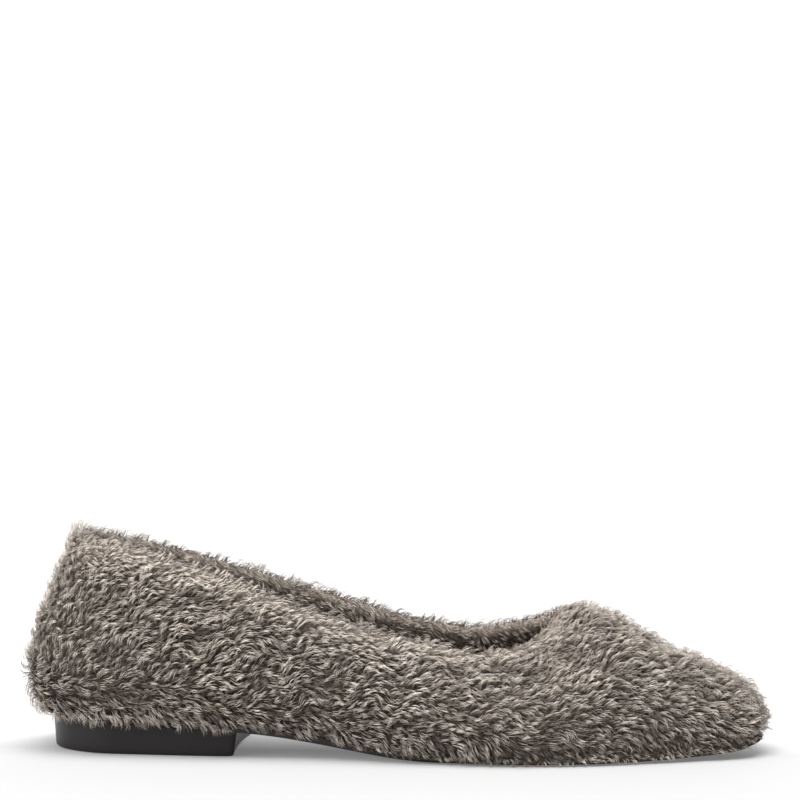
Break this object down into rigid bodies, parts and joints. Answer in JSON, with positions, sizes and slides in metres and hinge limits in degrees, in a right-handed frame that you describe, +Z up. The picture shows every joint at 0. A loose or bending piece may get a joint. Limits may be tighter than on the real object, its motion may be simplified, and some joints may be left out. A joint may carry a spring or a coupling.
{
  "type": "fur ballet flat",
  "caption": "Right women's slip-on flat in long curly taupe fur, with a low collar, a soft snipped toe, a thin sole and a low dark block heel.",
  "frame": {"origin": "middle of the shoe's box in plan, on the floor that it stands on", "axes": "+X towards the toe, +Y towards the medial side, +Z up"},
  "size_m": [0.2666, 0.0916, 0.0779],
  "materials": {
    "fur": "long curly plush fur, taupe with pale tips",
    "outsole_rubber": "matte black moulded rubber",
    "heel_block": "satin black-brown moulded plastic",
    "insole_suede": "brushed suede"
  },
  "bodies": {
    "root": {"upper": "fur", "outsole": "outsole_rubber", "heel": "heel_block", "insole": "insole_suede"}
  },
  "joints": []
}
